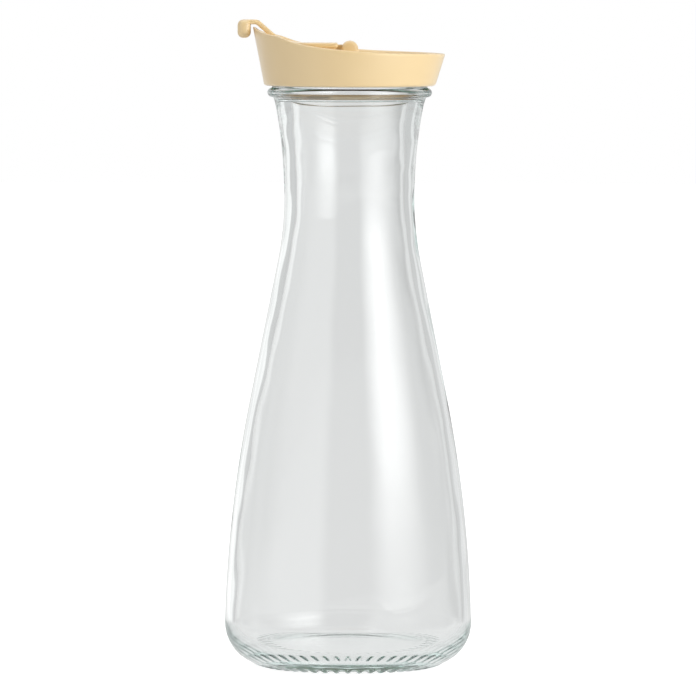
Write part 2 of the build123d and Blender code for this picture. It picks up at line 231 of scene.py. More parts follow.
class Finishes(bpy.types.PropertyGroup):
    plastic: colour("Plastic", (0.89, 0.67, 0.35), "Cream of the moulded lid")
    plastic_shade: colour("Plastic shade", (0.87, 0.64, 0.315), "Its slightly darker flow marks")
    plastic_sheen: amount("Plastic sheen", 1.0, "Strength of the moulded skin's soft gloss")
    plastic_grain: length("Plastic grain", 0.00001, "Depth of the plastic's satin grain")
    silicone: colour("Silicone", (0.8, 0.8, 0.77), "Sealing ring")
    silicone_grain: length("Silicone grain", 0.00002, "Depth of the silicone's unevenness")
    glass_depth: colour("Glass depth", (0.58, 0.87, 0.81), "What light keeps on a long way through the glass")
    glass_density: amount("Glass density", 6.5, "How quickly the glass takes on that colour")
    glass_ripple: length("Glass ripple", 0.00001, "Depth of the faint ripples in the glass's skin")
    floor: colour("Floor", (0.9, 0.9, 0.9), "Table and backdrop")


class StageSettings(bpy.types.PropertyGroup):
    camera_distance: length("Camera distance", 2.93, "From the camera to the jug's axis")
    camera_elevation: angle("Camera elevation", 3.25, "Angle that the camera looks down")
    camera_roll: angle("Camera roll", 0.18, "Tilt of the picture")
    aim_height: length("Aim height", 0.1322, "Height at the middle of the picture")
    focal_pixels: amount("Focal length", 7060.0, "Focal length in pixels of the picture")
    picture_side: amount("Picture side", 696.0, "Side of the picture in pixels")
    axis_shift: amount("Axis shift", 0.9, "How far right of the middle the axis stands, in pixels")
    floor_radius: length("Floor radius", 6.0, "Radius of the table")
    floor_lift: amount("Floor lift", 0.75, "Light added to the table in the camera's view")
    backdrop: amount("Backdrop", 0.79, "Brightness of the table and backdrop through the glass")
    left_wall: amount("Left wall", 1.0, "Brightness of the studio on the left")
    left_back: amount("Left back", 0.62, "Brightness of the studio further back on the left")
    back_gap: amount("Back gap", 0.6, "Brightness of the gaps beside the backdrop")
    back_strip: amount("Back strip", 1.06, "Brightness of the strip far back on the left")
    right_strip: amount("Right strip", 0.85, "Brightness of the strip far back on the right")
    near_table: length("Near table", 0.16, "Radius of the table that looks the same from every side")
    near_level: amount("Near level", 0.8, "Brightness of that part of the table")
    far_level: amount("Far level", 0.4, "Least brightness of the rest of the table")
    front_gap: amount("Front gap", 0.06, "Brightness of the dark gap round the camera and on the far right")
    window_bearing: angle("Window bearing", 50.0, "Direction of the window, turned right from the camera")
    window_distance: length("Window distance", 1.0, "From the jug to the window")
    window_height: length("Window height", 0.43, "Height of the window's middle")
    window_size: lengths("Window size", (1.35, 0.84), "Width and height of the window")
    window_start: angle("Window start", 17.0, "Bearing of the window's near edge")
    window_end: angle("Window end", 92.0, "Bearing of the window's far edge")
    window_near: angle("Window near side", 6.0, "From the window's middle to its near fade")
    window_far: angle("Window far side", 2.0, "From the window's middle back to its far fade")
    window_foot: amount("Window foot", 0.35, "Brightness at the window's foot, against its middle")
    window_radiance: amount("Window radiance", 4.0, "Brightness at the middle of the window")
    overhead_height: length("Overhead height", 1.3, "Height of the lamp above")
    overhead_size: lengths("Overhead size", (0.9, 0.9), "Sides of the lamp above")
    overhead_power: amount("Overhead power", 3.0, "Power of the lamp above")
    fill_bearing: angle("Fill bearing", 60.0, "Direction of the fill lamp, turned right from the camera")
    fill_distance: length("Fill distance", 1.1, "From the jug to the fill lamp")
    fill_height: length("Fill height", 0.75, "Height of the fill lamp")
    fill_size: lengths("Fill size", (0.8, 0.8), "Sides of the fill lamp")
    fill_power: amount("Fill power", 6.5, "Power of the fill lamp, which lights matt surfaces only")


class Outline:
    """Points along a line in a plane: straight runs, and arcs that carry on from the last heading."""

    def __init__(self, x, z):
        self.points = [Vector((x, z))]
        self.heading = Vector((1.0, 0.0))

    def line(self, x, z, steps=1):
        """A straight run to a point."""
        start, end = self.points[-1], Vector((x, z))
        self.heading = (end - start).normalized()
        self.points += [start.lerp(end, (step + 1) / steps) for step in range(steps)]

    def arc(self, x, z, steps, heading=None, crowd=0.0):
        """An arc to a point, tangent to the heading. Its steps may crowd together towards its end."""
        if heading is not None:
            self.heading = Vector(heading).normalized()
        start, end = self.points[-1], Vector((x, z))
        chord = end - start
        side = Vector((-self.heading.y, self.heading.x))
        sweep = 2 * atan2(side.dot(chord), self.heading.dot(chord))
        centre = start + side * (chord.length / (2 * sin(sweep / 2)))
        for step in range(steps):
            share = (step + 1) / steps
            turn = Matrix.Rotation(sweep * (share + crowd * share * (1 - share)), 2)
            self.points.append(centre + turn @ (start - centre))
        self.heading = Matrix.Rotation(sweep, 2) @ self.heading

    def round_corners(self, corners):
        """Straight runs between corners: place, rounding, steps of the run and steps of the arc."""
        places = [Vector(corner[:2]) for corner in corners]
        for place, after, (_, _, soft, run, turn) in zip(places, places[1:] + [None], corners):
            if soft:
                way = (place - self.points[-1]).normalized()
                self.line(*(place - way * soft), run)
                self.arc(*(place + (after - place).normalized() * soft), turn)
            else:
                self.line(*place, run)


def arc_round(centre_x, centre_z, radius, start, end, steps):
    """Points on an arc between two angles, both ends included."""
    return [
        Vector((centre_x + radius * cos(a), centre_z + radius * sin(a)))
        for a in (start + (end - start) * step / steps for step in range(steps + 1))
    ]


def ramp(value, low, high):
    """0 before low, 1 beyond high, and a straight rise between them."""
    return min(max((value - low) / (high - low), 0.0), 1.0)


def soft_ramp(value, low, high):
    """The same rise with a soft start and end."""
    t = ramp(value, low, high)
    return t * t * (3 - 2 * t)


def circle(radius, steps):
    """Points round a circle, anticlockwise."""
    return arc_round(0, 0, radius, 0, tau, steps)[:-1]


def rounded_rectangle(half_x, half_y, corner, steps):
    """Points round a rectangle with rounded corners, anticlockwise."""
    points = []
    for quarter, (sx, sy) in enumerate(((1, 1), (-1, 1), (-1, -1), (1, -1))):
        start = quarter * pi / 2
        points += arc_round(
            sx * (half_x - corner), sy * (half_y - corner), corner, start, start + pi / 2, steps
        )
    return points


def add_loop(bm, points, place):
    """A closed loop of vertices and edges. place turns a point of the outline into a place in space."""
    verts = [bm.verts.new(place(p)) for p in points]
    return [bm.edges.new((a, b)) for a, b in zip(verts, verts[1:] + verts[:1])]


def cap(bm, edges):
    """A face that closes a loop of edges."""
    return bmesh.ops.contextual_create(bm, geom=edges)["faces"]


def bridge(bm, first, second):
    """Faces between two loops of edges."""
    bmesh.ops.bridge_loops(bm, edges=first + second)
    return second


def stack_loops(bm, loops, closed=True):
    """Bridges each loop to the next, and closes both ends."""
    for first, second in zip(loops, loops[1:]):
        bridge(bm, first, second)
    if closed:
        cap(bm, loops[0])
        cap(bm, loops[-1])


def add_object(bm, name, material):
    """An object with the mesh of a bmesh and a material."""
    mesh = bpy.data.meshes.new(name)
    bm.to_mesh(mesh)
    bm.free()
    mesh.materials.append(material)
    piece = bpy.data.objects.new(name, mesh)
    bpy.context.scene.collection.objects.link(piece)
    return piece


def finish_piece(bm, name, body, material, replaced, sharp=None):
    """Turns a bmesh into a smooth-shaded piece that rides on a body."""
    bmesh.ops.recalc_face_normals(bm, faces=bm.faces)
    for face in bm.faces:
        face.smooth = True
    piece = add_object(bm, name, material)
    if sharp is not None:
        piece.data.set_sharp_from_angle(angle=sharp)
    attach(piece, body)
    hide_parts(replaced)


def opening_loops(bm, lid, middle, steps, stations):
    """Loops round the pour opening, each so far out of its edge and at its own height."""
    loops = []
    for out, z in stations:
        points = rounded_rectangle(
            lid.opening_length / 2 + out, lid.opening_width / 2 + out, lid.opening_round + out, steps
        )
        loops.append(add_loop(bm, points, lambda p: (middle + p.x, p.y, z)))
    return loops


def add_outline(bm, points, closed=False):
    """An outline in the XZ plane: its vertices, and the edges between them."""
    verts = [bm.verts.new((p.x, 0.0, p.y)) for p in points]
    edges = [bm.edges.new(pair) for pair in zip(verts, verts[1:])]
    if closed:
        edges.append(bm.edges.new((verts[-1], verts[0])))
    return verts, edges


def spin(bm, verts, edges, steps, weld):
    """Turns an outline full circle round the Z axis, and merges what lies closer than weld."""
    bmesh.ops.spin(bm, geom=verts + edges, axis=(0, 0, 1), angle=tau, steps=steps, use_merge=True)
    bmesh.ops.remove_doubles(bm, verts=bm.verts, dist=weld)


class JugShape:
    """Levels and radii of the jug, worked out from its sizes."""

    def __init__(self, s):
        self.s = s
        lean = s.cone_angle
        self.shoulder = (
            s.waist_radius + s.shoulder_arc * (1 - cos(lean)),
            s.waist_height - s.shoulder_arc * sin(lean),
        )
        foot_r = self.shoulder[0] + (self.shoulder[1] - s.cone_foot_height) * tan(lean)
        self.cone_foot = (foot_r, s.cone_foot_height)
        self.body_centre = (foot_r - s.body_arc * cos(lean), s.cone_foot_height - s.body_arc * sin(lean))
        rise = s.knurl_height + s.heel_arc - self.body_centre[1]
        reach = sqrt((s.body_arc - s.heel_arc) ** 2 - rise**2)
        self.heel = (self.body_centre[0] + reach, s.knurl_height + s.heel_rise)
        self.heel_top = self.touch_body(self.heel, s.body_arc)
        self.push_up_radius = self.heel[0] - s.bearing_land
        self.neck_top = (self.flare(s.bead_height - s.bead_proud), s.bead_height - s.bead_proud)
        self.finish_radius = self.neck_top[0] + s.finish_step
        self.bore_radius = self.finish_radius - s.finish_wall
        self.fit_inner_cone()
        self.fit_inner_heel()

    def flare(self, z):
        """Radius of the neck above the waist, outside."""
        s = self.s
        return s.waist_radius + s.flare_arc - sqrt(s.flare_arc**2 - (z - s.waist_height) ** 2)

    def fit_inner_cone(self):
        """The inside of the cone runs on tangent to the belly, and its shoulder touches the waist."""
        s = self.s
        lean = s.cone_angle + s.inner_lean
        body = s.body_arc - s.glass_wall
        self.inner_foot = (self.body_centre[0] + body * cos(lean), self.body_centre[1] + body * sin(lean))
        self.inner_waist = (s.waist_radius - s.neck_wall, s.waist_height)
        off = (self.inner_waist[0] - self.inner_foot[0]) * cos(lean)
        off += (self.inner_waist[1] - self.inner_foot[1]) * sin(lean)
        arc = off / (1 - cos(lean))
        self.inner_shoulder = (self.inner_waist[0] + off, self.inner_waist[1] - arc * sin(lean))
        ledge_z = s.bead_height - s.ledge_drop
        rise = ledge_z - s.waist_height
        self.ledge = (self.inner_waist[0] + s.bore_arc - sqrt(s.bore_arc**2 - rise**2), ledge_z)

    def touch_body(self, centre, radius):
        """Where a circle inside the belly's arc touches it."""
        r, z = centre[0] - self.body_centre[0], centre[1] - self.body_centre[1]
        reach = radius / hypot(r, z)
        return self.body_centre[0] + r * reach, self.body_centre[1] + z * reach

    def fit_inner_heel(self):
        """The inside corner: tangent to the belly inside and to the domed floor."""
        s = self.s
        inner_body = s.body_arc - s.glass_wall
        dome_z = s.floor_height - s.floor_dome
        span = hypot(self.body_centre[0], self.body_centre[1] - dome_z)
        near, far = s.floor_dome + s.inner_heel_arc, inner_body - s.inner_heel_arc
        along = (near**2 - far**2 + span**2) / (2 * span)
        across = sqrt(near**2 - along**2)
        toward = (self.body_centre[0] / span, (self.body_centre[1] - dome_z) / span)
        centre = (along * toward[0] + across * toward[1], dome_z + along * toward[1] - across * toward[0])
        share = s.floor_dome / near
        self.inner_heel_top = self.touch_body(centre, inner_body)
        self.floor_edge = (centre[0] * share, dome_z + (centre[1] - dome_z) * share)

    def outside(self):
        """The outline from the middle of the underside up to the mouth."""
        s = self.s
        top, bead = JUG_TOP, s.bead_height + s.bead_proud
        line = Outline(0.0, s.knurl_height + s.push_up)
        line.arc(self.push_up_radius, s.knurl_height, 9, heading=(1, 0))
        line.line(self.heel[0], s.knurl_height, 5)
        wide, high = self.heel_top[0] - self.heel[0], self.heel_top[1] - s.knurl_height
        for point in arc_round(0, 0, 1, -pi / 2, 0, 30)[1:]:
            line.points.append(Vector((self.heel[0] + wide * point.x, s.knurl_height + high * (1 + point.y))))
        along = (self.body_centre[1] - self.heel_top[1], self.heel_top[0] - self.body_centre[0])
        line.arc(*self.cone_foot, 12, heading=along)
        line.line(*self.shoulder, 6)
        line.arc(s.waist_radius, s.waist_height, 6)
        line.arc(*self.neck_top, 10)
        line.line(self.finish_radius, self.neck_top[1], 3)
        line.arc(self.finish_radius, bead, 14)
        line.line(self.finish_radius, bead + s.mouth_round, 3)
        line.line(self.finish_radius, top - s.mouth_round, 2)
        line.arc(self.finish_radius - s.mouth_round, top, 5)
        return line

    def inside(self, line):
        """Carries the outline on from the mouth down to the middle of the floor."""
        s = self.s
        line.line(self.bore_radius + s.mouth_round, JUG_TOP)
        line.arc(self.bore_radius, JUG_TOP - s.mouth_round, 5)
        reach, soft = self.ledge[0], s.ledge_round
        line.line(self.bore_radius, self.ledge[1] + soft, 5)
        line.arc(self.bore_radius - soft, self.ledge[1], 4)
        line.line(reach + soft, self.ledge[1], 4)
        line.arc(reach, self.ledge[1] - soft, 4)
        slope = sqrt(s.bore_arc**2 - (self.ledge[1] - s.waist_height) ** 2)
        line.arc(*self.inner_waist, 22, heading=(s.waist_height - self.ledge[1], -slope))
        line.arc(*self.inner_shoulder, 8)
        line.line(*self.inner_foot, 10)
        line.arc(*self.inner_heel_top, 18)
        line.arc(*self.floor_edge, 44, crowd=0.8)
        line.arc(0.0, s.floor_height, 24)
        return line


class JUG_OT_glass(bpy.types.Operator):
    """Blow the glass jug: outside, mouth and inside in one closed wall, with a studded foot"""

    bl_idname = "jug.glass"
    bl_label = "Glass Jug"

    def execute(self, context):
        s = context.scene.jug_sizes
        shape = JugShape(s)
        line = shape.outside()
        mouth = len(line.points)
        shape.inside(line)
        bm = bmesh.new()
        inner = bm.verts.layers.float.new("inner")
        verts, edges = add_outline(bm, line.points)
        for vert in verts[mouth:]:
            vert[inner] = 1.0
        self.soften(bm, shape, verts)
        spin(bm, verts, edges, s.steps * s.knurl_count, s.knurl_height / 1000)
        self.raise_studs(bm, shape, inner)
        self.ripple(bm, shape, inner)
        finish_piece(bm, "jug_glass", "jug", clear_glass(context.scene), "glass_jug")
        return {"FINISHED"}

    def soften(self, bm, shape, verts):
        """Rounds the corners that fire-polishing leaves soft: foot ring, bead and bore."""
        s = shape.s
        corners = (
            (shape.push_up_radius, s.knurl_height, s.foot_soft),
            (*shape.neck_top, s.neck_soft),
            (shape.finish_radius, s.bead_height + s.bead_proud, s.bead_soft),
        )
        for r, z, reach in corners:
            near = [v for v in verts if hypot(v.co.x - r, v.co.z - z) < reach]
            for _ in range(3):
                bmesh.ops.smooth_vert(
                    bm, verts=near, factor=0.5, use_axis_x=True, use_axis_y=True, use_axis_z=True
                )

    def raise_studs(self, bm, shape, inner):
        """Stands a rounded stud out of the foot at each pitch, running out up the heel."""
        s = shape.s
        drop = s.knurl_height + s.heel_arc - s.knurl_arc
        limit = s.knurl_height + s.heel_rise
        pitch = tau / s.knurl_count
        for vert in bm.verts:
            r, turn = hypot(vert.co.x, vert.co.y), atan2(vert.co.y, vert.co.x)
            if vert[inner] or r < shape.push_up_radius or vert.co.z > limit:
                continue
            off = turn - pitch * round(turn / pitch)
            # The steps crowd together on each stud and spread out between studs.
            off_near = off - s.knurl_crowd * sin(off * s.knurl_count) / s.knurl_count
            turn += off_near - off
            across = min(abs(off_near) * r / (s.knurl_width / 2), 1.0)
            down = max(atan2((r - shape.heel[0]) / s.heel_arc, (limit - vert.co.z) / s.heel_rise), 0.0)
            crest = drop * cos(down) + sqrt(s.knurl_arc**2 - (drop * sin(down)) ** 2)
            rise = max(crest - s.heel_arc, 0.0) * sqrt(1 - across**2)
            rise *= soft_ramp(r, shape.heel[0] - s.knurl_reach, shape.heel[0])
            r += rise * sin(down)
            vert.co = (r * cos(turn), r * sin(turn), vert.co.z - rise * cos(down))

    def ripple(self, bm, shape, inner):
        """Makes the blown inside slightly uneven, and the moulded outside a little."""
        s = shape.s
        for vert in bm.verts:
            r = hypot(vert.co.x, vert.co.y)
            if r < shape.push_up_radius / 2:
                continue
            place, top = vert.co, shape.ledge[1]
            # The shifts keep the patterns apart.
            if vert[inner]:
                swell = noise.noise(place * s.slow_swells)
                swell += 0.6 * noise.noise(place * s.quick_swells + Vector((7, 3, 1)))
                # The thick neck is the most uneven, most of all at its two sides.
                side = ramp(place.z, s.uneven_foot, s.uneven_top) * (place.x / r) ** 2
                across = place.xy * s.neck_swells
                fine = noise.noise(Vector((*across, place.z * s.neck_layers)))
                swell = (1 + side) * s.inner_ripple * swell + side * s.neck_ripple * fine
            else:
                swell = s.outer_ripple * noise.noise(place * s.outer_swells + Vector((2, 9, 4)))
            fade = ramp(place.z, s.heel_arc, 2 * s.heel_arc) * ramp(place.z, top, top - s.mouth_fade)
            scale = 1 + fade * swell / r
            vert.co.x *= scale
            vert.co.y *= scale


def new_material(name):
    """A material with an empty Principled shader: the material, its node tree and the shader."""
    material = bpy.data.materials.new(name)
    material.use_nodes = True
    tree = material.node_tree
    return material, tree, tree.nodes["Principled BSDF"]


def clear_glass(scene):
    """Colourless glass that turns blue-green where it is thick, with faint ripples in its skin."""
    finishes = scene.jug_finishes
    material, tree, shader = new_material("clear_glass")
    skin = add_group(tree, skin_group(), {"Flow Scale": 70, "Grain Scale": 250})
    surface = {
        "Base Color": (1, 1, 1, 1),
        "Roughness": 0.0,
        "IOR": 1.5,
        "Transmission Weight": 1.0,
        "Normal": add_bump(tree, skin.outputs["Flow"], finishes.glass_ripple),
    }
    wire(tree, shader, surface)
    depth = {"Color": (*finishes.glass_depth, 1), "Density": finishes.glass_density}
    depth = add_node(tree, "VolumeAbsorption", depth).outputs["Volume"]
    wire(tree, tree.nodes["Material Output"], {"Volume": depth})
    return material


def moulded_plastic(scene):
    """Cream plastic with a fine satin grain and faint flow marks, shared by lid and flap."""
    name = "moulded_plastic"
    if name in bpy.data.materials:
        return bpy.data.materials[name]
    finishes = scene.jug_finishes
    material, tree, shader = new_material(name)
    skin = add_group(tree, skin_group(), {"Flow Scale": 60, "Grain Scale": 2600})
    flow = skin.outputs["Flow"]
    tones = {"Factor": flow, "A": (*finishes.plastic, 1), "B": (*finishes.plastic_shade, 1)}
    surface = {
        "Base Color": add_node(tree, "Mix", tones, data_type="RGBA").outputs["Result"],
        "Roughness": add_math(tree, "MULTIPLY_ADD", flow, 0.06, 0.4),
        "Normal": add_bump(tree, skin.outputs["Grain"], finishes.plastic_grain),
        "Coat Weight": finishes.plastic_sheen,
        "Coat Roughness": 0.45,
        "Coat IOR": 1.8,
        "Sheen Weight": 0.35,
        "Sheen Roughness": 0.4,
    }
    wire(tree, shader, surface)
    return material


def soft_silicone(scene):
    """Pale matt silicone with a faint unevenness."""
    finishes = scene.jug_finishes
    material, tree, shader = new_material("soft_silicone")
    skin = add_group(tree, skin_group(), {"Flow Scale": 150, "Grain Scale": 900})
    surface = {
        "Base Color": (*finishes.silicone, 1),
        "Roughness": add_math(tree, "MULTIPLY_ADD", skin.outputs["Flow"], 0.2, 0.4),
        "Normal": add_bump(tree, skin.outputs["Grain"], finishes.silicone_grain),
    }
    wire(tree, shader, surface)
    return material


def skin_group():
    """Slow flow marks and a fine grain, as two values, for anything moulded."""
    name = "moulded_skin"
    if name in bpy.data.node_groups:
        return bpy.data.node_groups[name]
    tree = bpy.data.node_groups.new(name, "ShaderNodeTree")
    out = tree.nodes.new("NodeGroupOutput")
    given = tree.nodes.new("NodeGroupInput")
    place = add_node(tree, "TexCoord").outputs["Object"]
    for part in ("Flow", "Grain"):
        tree.interface.new_socket(part + " Scale", in_out="INPUT", socket_type="NodeSocketFloat")
        tree.interface.new_socket(part, in_out="OUTPUT", socket_type="NodeSocketFloat")
        texture = add_node(tree, "TexNoise", {"Vector": place, "Scale": given.outputs[part + " Scale"]})
        wire(tree, out, {part: texture.outputs["Fac"]})
    return tree


class RimLine:
    """Height of the lid's rim at each place along the spout line, as a smooth curve through its points."""

    def __init__(self, s):
        self.s = s
        lip_z = s.deck_height + s.lip_height
        rear_z = s.deck_height + s.rear_rim_height
        self.lip = (self.wall_x(lip_z, -1), lip_z)
        self.xs = [self.lip[0]] + [self.lip[0] + back for back in s.rim_back] + [self.wall_x(rear_z, 1)]
        self.zs = [lip_z] + [s.deck_height + rise for rise in s.rim_rise] + [rear_z]
        places = list(zip(self.xs, self.zs))
        around = zip(places[:1] + places[:-1], places[1:] + places[-1:])
        self.slopes = [(after[1] - before[1]) / (after[0] - before[0]) for before, after in around]

    def share(self, z):
        """How far up the flare a height is."""
        return (z - self.s.skirt_height) / self.s.wall_height

    def wall_x(self, z, side):
        """The wall's outside in the middle plane, at the spout (-1) or at the rear (1)."""
        share = self.share(z)
        return self.s.wall_shift * share + side * (self.s.skirt_radius + self.s.wall_flare * share)

    def height(self, x):
        """Height of the rim at a place."""
        i = 0
        while i < len(self.xs) - 2 and x > self.xs[i + 1]:
            i += 1
        run = self.xs[i + 1] - self.xs[i]
        t = (x - self.xs[i]) / run
        if t < 0:
            return self.zs[0] + self.slopes[0] * (x - self.xs[0])
        t = min(t, 1.0)
        return (
            (1 + 2 * t) * (1 - t) ** 2 * self.zs[i]
            + t * (1 - t) ** 2 * run * self.slopes[i]
            + t**2 * (3 - 2 * t) * self.zs[i + 1]
            + t**2 * (t - 1) * run * self.slopes[i + 1]
        )


class JUG_OT_lid(bpy.types.Operator):
    """Mould the lid: flared wall with its rim rising to the spout, deck, plug, collar and hinge ears"""

    bl_idname = "jug.lid"
    bl_label = "Lid Moulding"

    def execute(self, context):
        s = context.scene.jug_lid
        bm = bmesh.new()
        spin(bm, *add_outline(bm, self.section(s)), s.steps, s.rim_round / 1000)
        rim = RimLine(s)
        for vert in bm.verts:
            vert.co = self.lean(s, rim, vert.co)
        self.cut_opening(bm, s, rim)
        for side in (-1, 1):
            self.raise_ear(bm, s, side)
        plastic = moulded_plastic(context.scene)
        finish_piece(bm, "lid_moulding", "lid", plastic, "lid_body", SHARP)
        return {"FINISHED"}

    def section(self, s):
        """The lid's cross-section before it leans: deck, wall, skirt, plug and back under the deck."""
        inner, soft = s.skirt_radius - s.wall, s.corner_round
        top, under, lip = s.deck_height, s.deck_height - s.deck_thickness, s.deck_height + s.lip_height
        foot = under - s.plug_depth
        groove_top = s.groove_foot + s.groove_height
        plug, plug_inner = s.plug_radius, s.plug_radius - s.plug_wall
        line = Outline(s.deck_core, top)
        line.round_corners(
            (
                (plug, top, 0, 1, 0),
                (inner, top, soft, 4, 4),
                (inner, lip, s.rim_round, 10, 5),
                (s.skirt_radius, lip, s.rim_round, 1, 5),
                (s.skirt_radius, s.skirt_height, s.skirt_round, 14, 6),
                (inner, s.skirt_height, soft / 2, 1, 2),
                (inner, under, soft, 4, 3),
                (plug, under, soft, 3, 3),
                (plug, groove_top, 0, 1, 0),
                (s.groove_radius, groove_top, 0, 1, 0),
                (s.groove_radius, s.groove_foot, 0, 1, 0),
                (plug, s.groove_foot, 0, 1, 0),
                (plug, foot, soft / 2, 1, 2),
                (plug_inner, foot, soft / 2, 1, 2),
                (plug_inner, under, soft / 2, 2, 2),
                (s.deck_core, under, 0, 1, 0),
            )
        )
        return line.points

    def lean(self, s, rim, place):
        """Where a point of the upright lid ends: stretched to the rim line, flared and leant back."""
        r, turn, z = hypot(place.x, place.y), atan2(place.y, place.x), place.z
        inner = s.skirt_radius - s.wall
        part = soft_ramp(r, s.plug_radius, inner)
        outside = r > inner + s.wall / 2
        low = s.skirt_height + s.skirt_round if outside else s.deck_height + s.corner_round
        lip, top = rim.lip[1], rim.lip[1] - s.rim_round
        if part > 0.999 and z > low + s.corner_round / 100:
            # The rim's height and its lean depend on each other, so both are found step by step.
            edge = lip
            for _ in range(12):
                share = rim.share(edge)
                edge = rim.height(s.wall_shift * share + (r + s.wall_flare * share) * cos(turn))
            if z > top:
                z = edge - (lip - z)
            else:
                z = low + (z - low) * (edge - s.rim_round - low) / (top - low)
        share = rim.share(z) * part
        r += s.wall_flare * share
        return Vector((s.wall_shift * share + r * cos(turn), r * sin(turn), z))

    def cut_opening(self, bm, s, rim):
        """Closes the deck in to the pour opening, with the collar round it."""
        under, rise = s.deck_height - s.deck_thickness, s.deck_height + s.collar_height
        wall, soft = s.collar_wall, s.collar_wall / 4
        rings = {True: [], False: []}
        for edge in bm.edges:
            if edge.is_boundary:
                rings[edge.verts[0].co.z > (under + s.deck_height) / 2].append(edge)
        stations = (
            (wall, s.deck_height),
            (wall, rise - soft),
            (wall - soft, rise),
            (soft, rise),
            (0, rise - soft),
            (0, under),
        )
        loops = opening_loops(bm, s, rim.lip[0] + s.opening_setback, s.steps // 4 - 1, stations)
        stack_loops(bm, loops, closed=False)
        for ring, outline in ((rings[True], loops[0]), (rings[False], loops[-1])):
            bmesh.ops.triangle_fill(bm, use_beauty=True, use_dissolve=False, edges=ring + outline)

    def raise_ear(self, bm, s, side):
        """One rounded ear beside the flap's barrel, with a blind bore for the trunnion."""
        foot = s.deck_height - s.deck_thickness / 4 - HINGE.z
        near, steps = s.ear_spacing / 2, 24

        def outline(inset):
            reach = s.ear_radius - inset
            corners = ((-reach, foot / 2), (-reach, foot), (reach, foot), (reach, foot / 2))
            return arc_round(0, 0, reach, 0, pi, steps) + [Vector(corner) for corner in corners]

        def loop(points, off):
            return add_loop(bm, points, lambda p: (HINGE.x + p.x, side * (near + off), HINGE.z + p.y))

        # The bore has as many points as the outline: the dome's steps and ends, and four corners.
        soft, bore = s.ear_round, circle(s.bore_radius, steps + 5)
        quarter = [(1 - sin(a), 1 - cos(a)) for a in (radians(turn) for turn in (0, 30, 60, 90))]
        loops = [loop(bore, s.bore_depth), loop(bore, 0)]
        loops += [loop(outline(soft * x), soft * y) for x, y in quarter]
        loops += [loop(outline(soft * y), s.ear_thickness - soft * x) for x, y in quarter]
        stack_loops(bm, loops)


class JUG_OT_seal(bpy.types.Operator):
    """Form the silicone ring with its fins, stretched into the plug's groove"""

    bl_idname = "jug.seal"
    bl_label = "Seal"

    def execute(self, context):
        s, lid = context.scene.jug_seal, context.scene.jug_lid
        inner, foot, height = lid.groove_radius, lid.groove_foot, lid.groove_height
        root, pitch = inner + s.band, height / s.fins
        points = [(inner, foot), (root, foot)]
        for fin in range(s.fins):
            middle = foot + (fin + 1 / 2) * pitch
            points += [
                (root, middle - s.fin_height / 2),
                (s.tip_radius, middle - s.fin_height / 4),
                (s.tip_radius, middle + s.fin_height / 4),
                (root, middle + s.fin_height / 2),
            ]
        points += [(root, foot + height), (inner, foot + height)]
        bm = bmesh.new()
        spin(bm, *add_outline(bm, [Vector(p) for p in points], closed=True), s.steps, s.band / 1000)
        silicone = soft_silicone(context.scene)
        finish_piece(bm, "lid_seal", "lid", silicone, "lid_gasket", SHARP)
        return {"FINISHED"}


class FlapShape:
    """The flap's side view, worked out from the lid that it closes."""

    def __init__(self, s, lid):
        rim = RimLine(lid)
        lip_x, lip_z = rim.lip
        self.s = s
        self.under = lid.deck_height + s.rise
        self.middle = self.under + s.thickness / 2
        self.opening_x = lip_x + lid.opening_setback
        self.crown_z = lip_z + s.lip_clearance + s.thickness
        swing = hypot(lip_x - HINGE.x, lip_z - HINGE.z) + s.hook_clearance
        level = self.crown_z - s.hook_drop + s.hook_level
        inner_x = HINGE.x - sqrt(swing**2 - (level - HINGE.z) ** 2)
        self.hook_x = inner_x - s.hook_thickness / 2
        self.rear_x = HINGE.x - s.rear_gap
        self.bend_x = lip_x + s.bend_start

    def centreline(self):
        """The middle of the leaf from its rear edge to the hook."""
        s, bend, half = self.s, self.s.bend_angle, self.s.thickness / 2
        arc, crown = s.bend_arc + half, s.crown_arc - half
        rise_end = (self.bend_x - arc * sin(bend), self.middle + arc * (1 - cos(bend)))
        crown_mid = self.crown_z - half
        start_z = crown_mid - crown * (1 - cos(bend))
        start_x = rise_end[0] - (start_z - rise_end[1]) / tan(bend)
        line = Outline(self.rear_x, self.middle)
        line.line(self.bend_x, self.middle, 16)
        line.arc(*rise_end, 18)
        line.line(start_x, start_z, 6)
        line.arc(start_x - crown * sin(bend), crown_mid, 8)
        line.line(self.hook_x, crown_mid, 2)
        return line.points

    def half_width(self, x):
        """Half of the leaf's width, drawn in from the opening to the stem."""
        s = self.s
        taper = soft_ramp(HINGE.x - x, s.taper_start, s.taper_end)
        return (s.width + (s.stem_width - s.width) * taper) / 2


